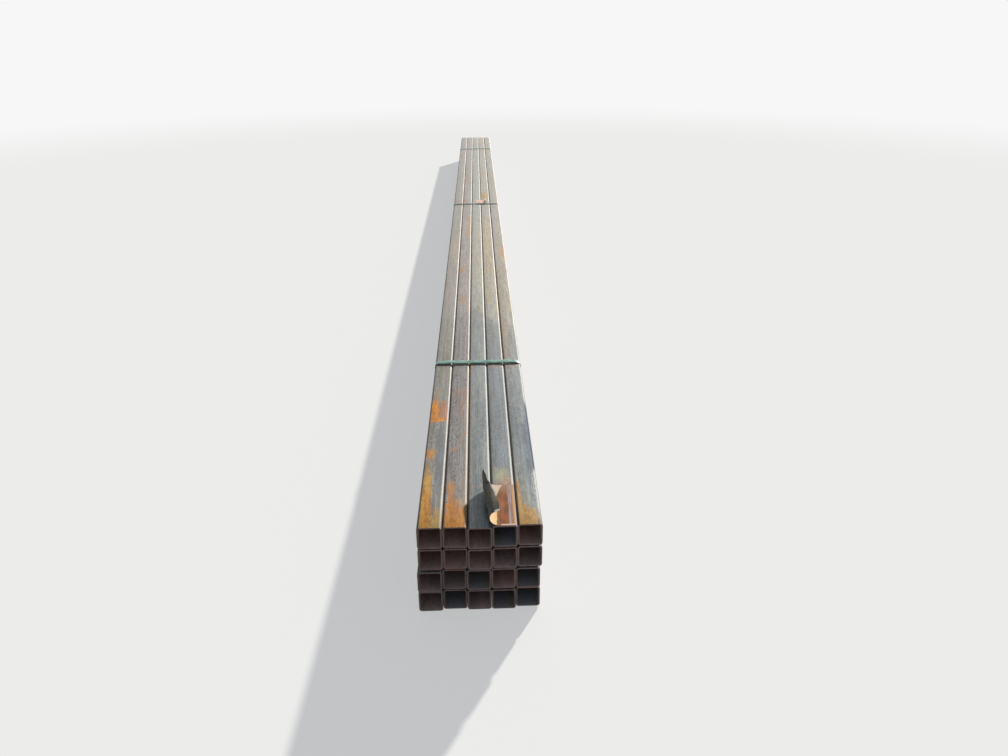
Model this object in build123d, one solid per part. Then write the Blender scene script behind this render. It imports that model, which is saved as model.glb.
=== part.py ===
from build123d import *

import os
from math import asin, cos, degrees, radians

# A strapped bundle of square steel tubes, five wide and four high, in millimetres.
# While it is drawn, X runs across the bundle, Y runs along the tubes from the front
# end and Z is up. At the end the whole bundle is moved so that the bottom centre of
# its box is the origin.

# Tube stock
tube_side = 50.8
tube_wall = 3.05
tube_corner = 6.0
tube_length = 6096.0

# How the tubes lie
column_gap = 0.5
row_gap = 0.3

# One entry for each layer, from the floor up: its name and how far it has slid sideways,
# then for each tube from left to right how far its front end stands back from the nominal
# end, and how far that end bows up past the front strap. No tube bows up more than the
# one above it.
layers = {
    "bottom": {
        "slide": -2.8,
        "set_back": (-3.0, 2.0, -1.5, -1.5, 4.5),
        "bow": (0.0, 0.0, 0.0, 0.0, 0.0),
    },
    "lower": {
        "slide": -3.1,
        "set_back": (-3.5, 1.5, -1.5, -2.5, 3.5),
        "bow": (0.0, 2.0, 1.2, 4.6, 0.0),
    },
    "upper": {
        "slide": 0.5,
        "set_back": (-2.0, 1.0, -2.0, -1.5, 3.0),
        "bow": (5.0, 3.8, 2.4, 5.4, 4.6),
    },
    "top": {
        "slide": 0.7,
        "set_back": (-2.0, 2.0, -1.5, -2.0, 2.5),
        "bow": (8.0, 5.4, 4.4, 8.8, 8.2),
    },
}

# Steel straps, by how far each lies from the front end
strap_width = 19.0
strap_thickness = 0.8
strap_places = {"front": 839.0, "middle": 3136.0, "rear": 5352.0}

# Seal that closes each strap, on the right side at the upper layer, and how far the
# strap's end runs on past it
seal_length = 32.0
seal_sheet = 0.8
seal_clearance = 0.1
seal_lip_gap = 5.0
seal_edge = 0.6
strap_tail = 9.0

# Paper label on the last tube but one of the top layer, flat on its right and curled up
# on its left
label_length = 152.4
label_width = 101.6
label_sheet = 0.4
label_clearance = 0.2
label_inset = 2.0
label_set_back = 1.0
label_flat = 30.0
label_curl_radius = 30.0
label_curl_turn = 80.0

# Small paper tag caught under the middle strap on the middle tube, with its right side
# curled up
tag_width = 58.0
tag_length = 96.0
tag_sheet = 0.3
tag_clearance = 0.1
tag_left = 1.0
tag_flat = 32.0
tag_curl_radius = 30.0
tag_curl_turn = 40.0
tag_behind = 1.0
tag_tongue_out = 3.0

# Worked out from the sizes above
columns = len(layers["bottom"]["set_back"])
label_column = columns - 1
tag_column = (columns + 1) // 2
strap_clearance = tag_sheet + 2 * tag_clearance
column_pitch = tube_side + column_gap
row_pitch = tube_side + row_gap
base_height = strap_thickness + strap_clearance
bow_start = strap_places["front"]
layer_names = list(layers)


def tube_centre(layer, column):
    # Where the axis of a tube lies across the bundle, for a column counted from 1
    across = (column - (columns + 1) / 2) * column_pitch + layers[layer]["slide"]
    height = base_height + tube_side / 2 + layer_names.index(layer) * row_pitch
    return across, height


def bow_radius(reach, bow):
    # Radius of the arc that leaves the straight tube smoothly and rises by bow over reach
    return (reach**2 + bow**2) / (2 * bow)


def across_plane(y):
    # A plane across the bundle at a distance from the front end, drawn in X and Z
    return Plane(origin=(0, y, 0), x_dir=(1, 0, 0), z_dir=(0, -1, 0))


def tube_section(y, x, z):
    bore = tube_side - 2 * tube_wall
    outside = RectangleRounded(tube_side, tube_side, tube_corner)
    inside = RectangleRounded(bore, bore, tube_corner - tube_wall)
    return across_plane(y) * Pos(x, z) * (outside - inside)


def make_tube(layer, column):
    # A straight tube, or one whose front end bows up on a long arc past the front strap
    x, z = tube_centre(layer, column)
    front = layers[layer]["set_back"][column - 1]
    bow = layers[layer]["bow"][column - 1]
    straight_from = bow_start if bow else front
    straight = front + tube_length - straight_from
    tube = extrude(tube_section(straight_from, x, z), -straight)
    if bow:
        reach = straight_from - front
        radius = bow_radius(reach, bow)
        centre_line = Axis((0, straight_from, z + radius), (-1, 0, 0))
        turn = degrees(asin(reach / radius))
        tube += revolve(tube_section(straight_from, x, z), centre_line, turn)
    return tube


def hull_of(points):
    # Corners of the convex outline round some points, in order
    points = sorted(set(points))
    chains = []
    for run in (points, points[::-1]):
        chain = []
        for x, z in run:
            while len(chain) > 1:
                (ax, az), (bx, bz) = chain[-2:]
                if (bx - ax) * (z - az) - (bz - az) * (x - ax) > 0:
                    break
                chain.pop()
            chain.append((x, z))
        chains += chain[:-1]
    return chains


def seal_place():
    # The side face that the seals lie on and their height, at the last tube of the upper layer
    x, z = tube_centre("upper", columns)
    return x + tube_side / 2, z


def strap_line():
    # The outline that a taut strap is bent round: the centres of the corner arcs of the
    # outer tubes, and the ends of the seal's lips, which the strap passes over
    points = []
    for layer in layers:
        for column in (1, columns):
            x, z = tube_centre(layer, column)
            arm = tube_side / 2 - tube_corner
            points += [(x + i * arm, z + k * arm) for i in (-1, 1) for k in (-1, 1)]
    side, height = seal_place()
    over_lips = side + seal_sheet + 2 * seal_clearance - tube_corner - strap_clearance
    points += [(over_lips, height - seal_length / 2), (over_lips, height + seal_length / 2)]
    return hull_of(points)


def strap_outline(outline, depth):
    # The face inside a strap's line at a distance out from the tubes
    face = make_face(Polyline(*outline, close=True))
    return offset(face, amount=tube_corner + strap_clearance + depth, kind=Kind.ARC)


def make_strap(y):
    # One band whose end passes over itself at the seal
    outline = strap_line()
    inner = strap_outline(outline, 0)
    middle = strap_outline(outline, strap_thickness)
    outer = strap_outline(outline, 2 * strap_thickness)
    side, height = seal_place()
    tail_half = seal_length / 2 + strap_tail
    tail_zone = Pos(side, height) * Rectangle(tube_side, 2 * tail_half)
    band = (middle - inner) + ((outer - middle) & tail_zone)
    return extrude(across_plane(y) * band, strap_width / 2, both=True)


def make_seal(y):
    # A folded sleeve: a plate over the two layers of strap, two sides, and two lips behind
    # them with a gap between
    side, height = seal_place()
    cavity_deep = 2 * strap_thickness + 2 * seal_clearance
    cavity_wide = strap_width + 2 * seal_clearance
    depth = cavity_deep + 2 * seal_sheet
    width = cavity_wide + 2 * seal_sheet
    block = Rectangle(depth, width)
    block = fillet(block.vertices(), seal_edge)
    cavity = Rectangle(cavity_deep, cavity_wide)
    lip_gap = Pos(-depth / 2) * Rectangle(2 * (seal_sheet + seal_clearance), seal_lip_gap)
    start = (side + seal_clearance + depth / 2, y, height - seal_length / 2)
    return extrude(Plane(origin=start) * (block - cavity - lip_gap), seal_length)


def top_of_tube(layer, column, from_end):
    # A point on top of a tube at a distance from its front end, and how steeply it slopes there
    x, z = tube_centre(layer, column)
    front = layers[layer]["set_back"][column - 1]
    bow = layers[layer]["bow"][column - 1]
    y = front + from_end
    if not bow or y > bow_start:
        return Vector(x, y, z + tube_side / 2), 0.0
    radius = bow_radius(bow_start - front, bow)
    slope = asin((bow_start - y) / radius)
    return Vector(x, y, z + radius - (radius - tube_side / 2) * cos(slope)), degrees(slope)


def curled_sheet(flat, radius, turn, width, thickness, side):
    # The profile of a sheet that lies flat, curls up towards one side and runs on straight,
    # with side 1 for the right and -1 for the left. Its flat stretch starts at the origin.
    rest = width - flat - radius * radians(turn)
    lying = Line((0, 0), (side * flat, 0))
    curl = JernArc(lying @ 1, lying % 1, radius, side * turn)
    rising = Line(curl @ 1, (curl @ 1) + (curl % 1) * rest)
    return trace([lying, curl, rising], thickness)


def make_label():
    profile = curled_sheet(label_flat, label_curl_radius, label_curl_turn, label_width, label_sheet, -1)
    sheet = extrude(across_plane(0) * profile, label_length / 2, both=True)
    place, slope = top_of_tube("top", label_column, label_set_back + label_length / 2)
    place += Vector(tube_side / 2 - label_inset, 0, label_clearance + label_sheet / 2)
    return Location(place, (-slope, 0, 0)) * sheet


def make_tag():
    # The sheet lies behind the strap, and a flat tongue of it passes under the strap
    profile = curled_sheet(tag_flat, tag_curl_radius, tag_curl_turn, tag_width, tag_sheet, 1)
    middle = strap_places["middle"]
    place, _ = top_of_tube("top", tag_column, middle)
    height = place.Z + tag_clearance + tag_sheet / 2
    left = place.X + tag_left
    sheet_start = middle + strap_width / 2 + tag_behind
    tongue_start = middle - strap_width / 2 - tag_tongue_out
    sheet = extrude(across_plane(sheet_start) * Pos(left, height) * profile, -tag_length)
    tongue_length = sheet_start - tongue_start
    tongue = Pos(left + tag_flat / 2, tongue_start + tongue_length / 2, height)
    return sheet + tongue * Box(tag_flat, tongue_length, tag_sheet)


def make_bundle():
    pieces = {}
    for layer in layers:
        for column in range(1, columns + 1):
            pieces[f"tube_{layer}_{column}"] = make_tube(layer, column)
    for name, y in strap_places.items():
        pieces[f"strap_{name}"] = make_strap(y)
        pieces[f"seal_{name}"] = make_seal(y)
    pieces["paper_label"] = make_label()
    pieces["paper_tag"] = make_tag()
    return pieces


pieces = make_bundle()
box = Compound([piece.solid() for piece in pieces.values()]).bounding_box()
to_origin = Pos(-box.center().X, -box.center().Y, -box.min.Z)
os.makedirs("parts", exist_ok=True)
for name, piece in pieces.items():
    export_step(to_origin * piece.solid(), f"parts/{name}.step")
print("moved by", to_origin.position, "box", box.size)
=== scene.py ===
from functools import reduce
from math import cos, pi, radians, sin

import bmesh
import bpy
from mathutils import Matrix, Vector
from mathutils.geometry import convex_hull_2d


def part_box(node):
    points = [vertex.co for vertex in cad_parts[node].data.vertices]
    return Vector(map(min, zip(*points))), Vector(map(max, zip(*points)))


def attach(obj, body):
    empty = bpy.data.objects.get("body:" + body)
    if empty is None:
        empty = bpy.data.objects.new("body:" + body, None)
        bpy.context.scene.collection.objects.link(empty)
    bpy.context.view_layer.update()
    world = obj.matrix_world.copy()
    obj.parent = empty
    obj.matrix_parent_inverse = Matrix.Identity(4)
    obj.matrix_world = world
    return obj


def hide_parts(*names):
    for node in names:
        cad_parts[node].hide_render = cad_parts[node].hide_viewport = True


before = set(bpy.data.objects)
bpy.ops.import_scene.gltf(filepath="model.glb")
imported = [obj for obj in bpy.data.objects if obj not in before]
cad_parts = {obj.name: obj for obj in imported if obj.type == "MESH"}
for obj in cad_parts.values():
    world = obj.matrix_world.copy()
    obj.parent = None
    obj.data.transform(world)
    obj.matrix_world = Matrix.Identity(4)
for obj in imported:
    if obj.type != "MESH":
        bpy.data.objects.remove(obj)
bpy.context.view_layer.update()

scene = bpy.context.scene
scene.view_settings.view_transform = "Standard"
mm = 0.001
print("frame loaded,", len(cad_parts), "nodes")

palette = {
    # Steel outside
    "coolGrey": (0.175, 0.195, 0.2),
    "warmGrey": (0.215, 0.195, 0.165),
    "paleScale": (0.34, 0.335, 0.31),
    "darkScale": (0.05, 0.055, 0.062),
    "slateBlue": (0.115, 0.145, 0.185),
    "darkBlue": (0.05, 0.075, 0.115),
    "mauve": (0.195, 0.16, 0.152),
    "orange": (0.6, 0.235, 0.012),
    "ochre": (0.56, 0.31, 0.042),
    "olive": (0.27, 0.2, 0.085),
    "tan": (0.37, 0.28, 0.17),
    "pink": (0.36, 0.235, 0.185),
    "brown": (0.2, 0.085, 0.045),
    "redBrown": (0.41, 0.165, 0.065),
    "yellowGreen": (0.4, 0.4, 0.2),
    "paleBlue": (0.33, 0.36, 0.355),
    "gapShade": (0.03, 0.021, 0.017),
    # corner line colours: partly rubbed steel, partly painted highlight
    "wornSteel": (0.42, 0.385, 0.33),
    "wornGold": (0.5, 0.4, 0.27),
    # film colours: dust, and painted sheen on the far part of the tops
    "dust": (0.52, 0.49, 0.43),
    "dustTan": (0.55, 0.43, 0.25),
    "dustPink": (0.48, 0.37, 0.3),
    "dustGreen": (0.44, 0.45, 0.35),
    # Bores and cut ends
    "deepScale": (0.175, 0.19, 0.21),
    "mouthScale": (0.23, 0.235, 0.26),
    "deepRust": (0.27, 0.2, 0.165),
    "mouthRust": (0.54, 0.36, 0.335),
    "boreDirt": (0.24, 0.2, 0.17),
    "boreFleck": (0.25, 0.155, 0.115),
    "cutSteel": (0.19, 0.142, 0.14),
    "cutBloom": (0.18, 0.1, 0.085),
    "sawLine": (0.25, 0.22, 0.2),
    # Straps and seals
    "green": (0.045, 0.17, 0.13),
    "fadedGreen": (0.1, 0.29, 0.22),
    # painted sheen on the straps' tops, partly chalked paint
    "frontChalk": (0.24, 0.4, 0.33),
    "middleChalk": (0.372, 0.43, 0.36),
    "rearChalk": (0.35, 0.425, 0.355),
    "mint": (0.46, 0.66, 0.57),
    "greenScratch": (0.025, 0.09, 0.075),
    "bareBend": (0.72, 0.7, 0.66),
    "zinc": (0.36, 0.37, 0.38),
    "paleZinc": (0.52, 0.52, 0.52),
    "zincScuff": (0.24, 0.17, 0.12),
    # Label and tag
    "paperRim": (0.8, 0.77, 0.7),
    "wornRim": (0.6, 0.52, 0.42),
    "frontCream": (0.68, 0.48, 0.25),
    "rearCream": (0.62, 0.49, 0.38),
    "creamFibre": (0.5, 0.36, 0.22),
    "soaked": (0.27, 0.09, 0.026),
    "soakedDark": (0.155, 0.06, 0.028),
    "soakedStreak": (0.36, 0.22, 0.13),
    "mauveStrip": (0.4, 0.34, 0.36),
    "orangeEdge": (0.66, 0.37, 0.17),
    "labelRim": (0.66, 0.5, 0.4),
    "rearStain": (0.36, 0.27, 0.2),
    "oldGlue": (0.06, 0.058, 0.052),
    "brownGlue": (0.15, 0.125, 0.085),
    "glueSpeck": (0.09, 0.1, 0.1),
    "wornBack": (0.34, 0.28, 0.2),
    "cleanPaper": (0.95, 0.92, 0.86),
    "tagPink": (0.74, 0.36, 0.28),
    "tagFaded": (0.8, 0.52, 0.42),
    "tagFibre": (0.6, 0.4, 0.32),
    "tagBleached": (0.88, 0.78, 0.64),
    "tagDirt": (0.11, 0.065, 0.05),
    "tagBack": (0.22, 0.13, 0.09),
}


# Node wiring for the materials and the geometry trees. A socket knows which tree it is in
def treeOf(values):
    return next(value.id_data for value in values if isinstance(value, bpy.types.NodeSocket))


def fill(socket, value):
    if isinstance(value, bpy.types.NodeSocket):
        value.id_data.links.new(value, socket)
    else:
        socket.default_value = value


# Adds a node beside its inputs, or in the tree that is given, and gives back one of its outputs
def node(kind, inputs=None, out=0, tree=None, family="ShaderNode", **menus):
    inputs = inputs or {}
    made = (tree or treeOf(inputs.values())).nodes.new(family + kind)
    for name, value in menus.items():
        setattr(made, name, value)
    for name, value in inputs.items():
        fill(made.inputs[name], value)
    return made.outputs[out]


def geo(kind, inputs=None, **options):
    return node(kind, inputs, family="GeometryNode", **options)


def calc(operation, *values):
    return node("Math", dict(enumerate(values)), operation=operation)


def plus(*values):
    return reduce(lambda total, value: calc("ADD", total, value), values)


def minus(first, second):
    return calc("SUBTRACT", first, second)


def times(*values):
    return reduce(lambda total, value: calc("MULTIPLY", total, value), values)


def offCentre(value):      # noise lies round a half
    return minus(value, 0.5)


def vectorCalc(operation, *values, out=0):
    return node("VectorMath", dict(enumerate(values)), out, operation=operation)


def combine(**parts):
    return node("CombineXYZ", parts)


def split(vector):
    return node("SeparateXYZ", {0: vector}).node.outputs


def ramp(value, low, high, toLow=0.0, toHigh=1.0):      # smooth step from low to high
    inputs = {"Value": value, "From Min": low, "From Max": high, "To Min": toLow, "To Max": toHigh}
    return node("MapRange", inputs, interpolation_type="SMOOTHSTEP")


def fall(value, low, high, fromHigh=1.0):
    return ramp(value, low, high, fromHigh, 0.0)


def stretch(vector, x, y, z):      # scales a pattern's coordinates
    return vectorCalc("MULTIPLY", vector, (x, y, z))


def noise(vector, detail=3.0, roughness=0.55, out=0):
    inputs = {"Vector": vector, "Scale": 1.0, "Detail": detail, "Roughness": roughness}
    return node("TexNoise", inputs, out)


def grain(place, across, along, detail=3.0, roughness=0.55):
    return noise(stretch(place, across, along, across), detail, roughness)


def colour(red, green, blue):
    return (red, green, blue, 1.0)


def tone(value):      # the colour for a name in the palette. A colour or a socket stays as it is
    return colour(*palette[value]) if isinstance(value, str) else value


def mixed(amount, under, over):
    return node("Mix", {0: amount, 6: tone(under), 7: tone(over)}, out=2, data_type="RGBA")


def layered(surface, *coats):      # lays coats over a surface, each with its amount and colour
    for amount, over in coats:
        surface = mixed(amount, surface, over)
    return surface


# A node group. Each input has a name and either its first value or its socket's type
def newGroup(name, inputs, outputs, kind="ShaderNodeTree"):
    tree = bpy.data.node_groups.new(name, kind)
    types = {float: "Float", int: "Int", tuple: "Color"}
    for label, first in inputs.items():
        socketType = first if isinstance(first, str) else types[type(first)]
        socket = tree.interface.new_socket(label, in_out="INPUT", socket_type="NodeSocket" + socketType)
        if first != socketType:
            socket.default_value = first
    for label, socketType in outputs.items():
        tree.interface.new_socket(label, in_out="OUTPUT", socket_type="NodeSocket" + socketType)
    given = tree.nodes.new("NodeGroupInput").outputs
    result = tree.nodes.new("NodeGroupOutput").inputs
    return tree, given, result


def newMaterial(name):
    material = bpy.data.materials.new(name)
    material.use_nodes = True
    return material, material.node_tree


def objectPlace(tree):
    return node("TexCoord", out="Object", tree=tree)


def stored(tree, name):
    return node("Attribute", out="Vector", tree=tree, attribute_name=name)


# Gives a material its surface. A bump is its height, how deep it is and how strong
def finished(material, surface, roughness, bump=None, metallic=0.0, specular=0.5):
    shader = material.node_tree.nodes["Principled BSDF"].inputs
    fill(shader["Base Color"], surface)
    fill(shader["Roughness"], roughness)
    fill(shader["Metallic"], metallic)
    fill(shader["Specular IOR Level"], specular)
    if bump:
        bump = dict(zip(("Height", "Distance", "Strength"), bump))
        fill(shader["Normal"], node("Bump", bump))
    return material


# Camera and plain studio
view = {
    "place": (9.9 * mm, -4307.9 * mm, 1121.4 * mm),
    "pitchDown": 24.741,
    "yawRight": 1.899,
    "roll": -0.33,
    "lens": 27.036,
    "sensor": 36.0,
    "clipEnd": 200.0,
}
studio = {
    "floorSize": 80.0,
    "floorColour": colour(0.8, 0.79, 0.775),
    "floorBounce": colour(0.36, 0.35, 0.34),
    "backColour": colour(0.93, 0.93, 0.93),
    "fadeFrom": 4.5,
    "fadeTo": 9.0,
    "skyLight": 0.26,
    "skyColour": colour(0.74, 0.88, 1.0),
    "sunTurn": 28.3,      # from straight ahead towards the right
    "sunHeight": 25.6,
    "sunStrength": 5.4,
    "sunSoftness": 2.0,
    "sunColour": (1.0, 0.97, 0.92),
    "shadowFill": 0.5,
}


def placed(name, data):
    thing = bpy.data.objects.new(name, data)
    scene.collection.objects.link(thing)
    return thing


def makeCamera():
    data = bpy.data.cameras.new("camera")
    data.lens = view["lens"]
    data.sensor_width = view["sensor"]
    data.clip_end = view["clipEnd"]
    camera = placed("camera", data)
    pitch, yaw, roll = (radians(view[angle]) for angle in ("pitchDown", "yawRight", "roll"))
    ahead = Matrix.Rotation(-yaw, 4, "Z") @ Matrix.Rotation(pi / 2 - pitch, 4, "X")
    camera.matrix_world = Matrix.Translation(view["place"]) @ ahead @ Matrix.Rotation(roll, 4, "Z")
    scene.camera = camera


def seenDirectly(tree):      # 1 for the rays that show the backdrop
    path = node("LightPath", tree=tree).node.outputs
    direct = calc("MAXIMUM", path["Is Camera Ray"], path["Is Glossy Ray"])
    return calc("MAXIMUM", direct, path["Is Transmission Ray"])


def makeWorld():
    world = bpy.data.worlds.new("studioWorld")
    world.use_nodes = True
    scene.world = world
    tree = world.node_tree
    tree.nodes.clear()
    lighting, backdrop = (
        node("Background", {"Color": shade, "Strength": strength}, tree=tree)
        for shade, strength in ((studio["skyColour"], studio["skyLight"]), (studio["backColour"], 1.0)))
    chosen = node("MixShader", {0: seenDirectly(tree), 1: lighting, 2: backdrop})
    fill(tree.nodes.new("ShaderNodeOutputWorld").inputs["Surface"], chosen)


def makeFloor():
    bpy.ops.mesh.primitive_plane_add(size=studio["floorSize"])
    floor = bpy.context.object
    floor.name = "floor"
    material, tree = newMaterial("paleFloor")
    tree.nodes.clear()
    shade = mixed(seenDirectly(tree), studio["floorBounce"], studio["floorColour"])
    matte = node("BsdfDiffuse", {"Color": shade})
    backdrop = node("Emission", {"Color": studio["backColour"]}, tree=tree)
    away = vectorCalc("LENGTH", objectPlace(tree), out="Value")
    faded = ramp(away, studio["fadeFrom"], studio["fadeTo"], studio["shadowFill"])
    faded = times(faded, seenDirectly(tree))
    chosen = node("MixShader", {0: faded, 1: matte, 2: backdrop})
    fill(tree.nodes.new("ShaderNodeOutputMaterial").inputs["Surface"], chosen)
    floor.data.materials.append(material)


def makeSun():
    data = bpy.data.lights.new("key", "SUN")
    data.energy = studio["sunStrength"]
    data.angle = radians(studio["sunSoftness"])
    data.color = studio["sunColour"]
    sun = placed("key", data)
    sun.rotation_euler = (radians(studio["sunHeight"] - 90), 0, -radians(studio["sunTurn"]))


makeCamera()
makeWorld()
makeFloor()
makeSun()
print("studio ready")


# Turning a mesh, or an object with its modifiers, into a piece
def meshPiece(name, mesh, sharpAngle):
    shape = bmesh.new()
    shape.from_mesh(mesh)
    bmesh.ops.delete(shape, geom=[v for v in shape.verts if not v.link_faces], context="VERTS")
    bmesh.ops.recalc_face_normals(shape, faces=shape.faces)
    shape.to_mesh(mesh)
    shape.free()
    mesh.shade_smooth()
    mesh.set_sharp_from_angle(angle=radians(sharpAngle))
    return placed(name, mesh)


def appliedPiece(name, seed, sharpAngle):
    graph = bpy.context.evaluated_depsgraph_get()
    mesh = bpy.data.meshes.new_from_object(seed.evaluated_get(graph), preserve_all_data_layers=True,
                                           depsgraph=graph)
    bpy.data.objects.remove(seed)
    return meshPiece(name, mesh, sharpAngle)


def grownPiece(name, tree, values, sharpAngle, source=None, bevel=None):
    seed = placed(name + "Seed", source or bpy.data.meshes.new(name + "Seed"))
    modifier = seed.modifiers.new("nodes", "NODES")
    modifier.node_group = tree
    for item in tree.interface.items_tree:
        if item.item_type == "SOCKET" and item.in_out == "INPUT" and item.name in values:
            modifier[item.identifier] = values[item.name]
    if bevel:
        edge = seed.modifiers.new("edge", "BEVEL")
        edge.width = bevel["round"]
        edge.segments = bevel["steps"]
        edge.limit_method = "ANGLE"
        edge.angle_limit = radians(bevel["angle"])
    return appliedPiece(name, seed, sharpAngle)


def handOver(piece, cadNode):
    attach(piece, "root")
    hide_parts(cadNode)
    print("  ", piece.name, "stands for", cadNode)


# Tubes, by the first inputs of their geometry tree
tube = {
    "side": 50.8 * mm,
    "wall": 3.05 * mm,
    "corner": 6.0 * mm,
    "cornerSteps": 6,
    "segments": 72,
    "bowStart": 839.0 * mm,
    "beadWidth": 3.2 * mm,
    "beadHeight": 0.7 * mm,
    "beadSteps": 10,
    "merge": 0.02 * mm,
}
tubeEdge = {"round": 0.35 * mm, "steps": 2, "angle": 60, "sharpAngle": 40}
layers = ("bottom", "lower", "upper", "top")
columns = (1, 2, 3, 4, 5)
onFace = {"place": "Vector", "centre": "Vector", "halfSize": "Vector"}      # in mm across and along


def makeMarkGroup():      # a soft-edged, ragged patch on a tube's face: stains, dust and one painted shadow
    inputs = {**onFace, "softness": 0.3, "ragged": 6.0, "seed": 0.0}
    tree, given, result = newGroup("markPatch", inputs, {"amount": "Float"})
    squareness = 2.3      # 2 would be an oval
    drawn = vectorCalc("ADD", stretch(given["place"], 0.06, 0.022, 0.0), combine(Z=given["seed"]))
    wander = vectorCalc("SUBTRACT", noise(drawn, 5.0, 0.5, out="Color"), (0.5, 0.5, 0.5))
    reach = times(given["ragged"], 1.6)
    wander = vectorCalc("MULTIPLY", wander, combine(X=reach, Y=times(reach, 5.0)))
    spot = vectorCalc("ADD", vectorCalc("SUBTRACT", given["place"], given["centre"]), wander)
    spot = split(vectorCalc("DIVIDE", spot, given["halfSize"]))
    across, lengthwise = (calc("POWER", calc("ABSOLUTE", spot[axis]), squareness) for axis in "XY")
    away = calc("POWER", plus(across, lengthwise), 1 / squareness)
    fill(result["amount"], fall(away, minus(1.0, given["softness"]), plus(1.0, given["softness"])))
    return tree


def makeScrapeGroup():      # a thin curved scrape: the near right part of an oval's rim
    tree, given, result = newGroup("scrape", {**onFace, "width": 0.06}, {"amount": "Float"})
    spot = vectorCalc("SUBTRACT", given["place"], given["centre"])
    spot = stretch(vectorCalc("DIVIDE", spot, given["halfSize"]), 1.0, 1.0, 0.0)
    wobble = times(offCentre(noise(stretch(given["place"], 0.05, 0.02, 0.0))), 0.12)
    away = plus(vectorCalc("LENGTH", spot, out="Value"), wobble)
    rim = fall(calc("ABSOLUTE", minus(away, 1.0)), 0.0, given["width"])
    parts = split(spot)
    fill(result["amount"], times(rim, ramp(parts["X"], -0.45, -0.25), fall(parts["Y"], -0.1, 0.05)))
    return tree


# Mill scale with drawn streaks, specks and a haze of rust, from a tube's own coordinates in mm
def makeScaleGroup():
    inputs = {"place": "Vector", "seed": 0.0, "warmth": 0.4, "specks": 0.3, "haze": 0.2,
              "tint": tone("coolGrey"), "tintAmount": 0.0}
    outputs = {"colour": "Color", "rust": "Float", "height": "Float", "roughness": "Float"}
    tree, given, result = newGroup("millScale", inputs, outputs)
    shift = combine(X=given["seed"], Y=given["seed"], Z=given["seed"])
    place = vectorCalc("ADD", given["place"], vectorCalc("MULTIPLY", shift, (311.0, 1770.0, 97.0)))
    broad = grain(place, 0.045, 0.0016, 4.0)
    warm = plus(broad, offCentre(given["warmth"]))
    streaks = grain(place, 0.55, 0.0035, 5.0, 0.65)
    bands = grain(place, 0.1, 0.006, 5.0, 0.7)
    mottle = grain(place, 0.16, 0.05, 6.0, 0.7)
    field = ramp(grain(place, 0.03, 0.006), 0.35, 0.62)
    dots = node("TexVoronoi", {"Vector": stretch(place, 0.24, 0.085, 0.24), "Scale": 1.0})
    dots = dots.node.outputs
    dot = times(fall(dots["Distance"], 0.22, 0.5), times(field, given["specks"]))
    chance = split(dots["Color"])["X"]
    level = minus(0.78, times(given["haze"], 0.4))
    haze = ramp(grain(place, 0.035, 0.0045, 6.0, 0.62), level, plus(level, 0.2))
    fill(result["colour"], layered(
        mixed(ramp(warm, 0.36, 0.66), "coolGrey", "warmGrey"),
        (given["tintAmount"], given["tint"]),
        (ramp(streaks, 0.5, 0.66, 0.0, 0.6), "paleScale"),
        (fall(streaks, 0.36, 0.5, 0.45), "darkScale"),
        (fall(bands, 0.34, 0.5, 0.35), "darkScale"),
        (ramp(bands, 0.51, 0.66, 0.0, 0.35), "paleScale"),
        (ramp(mottle, 0.48, 0.64, 0.0, 0.35), "paleScale"),
        (times(dot, ramp(chance, 0.45, 0.6)), "darkScale"),
        (times(dot, ramp(chance, 0.3, 0.2), 0.7), "paleScale"),
        (times(haze, 0.6), "tan"),
        (times(calc("POWER", haze, 3.0), 0.8), "ochre")))
    fill(result["rust"], haze)
    fill(result["height"], plus(times(streaks, 0.6), times(mottle, 0.4)))
    fill(result["roughness"], plus(0.27, times(mottle, 0.22), times(haze, 0.25)))
    return tree


markGroup = makeMarkGroup()
scrapeGroup = makeScrapeGroup()
scaleGroup = makeScaleGroup()

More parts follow.
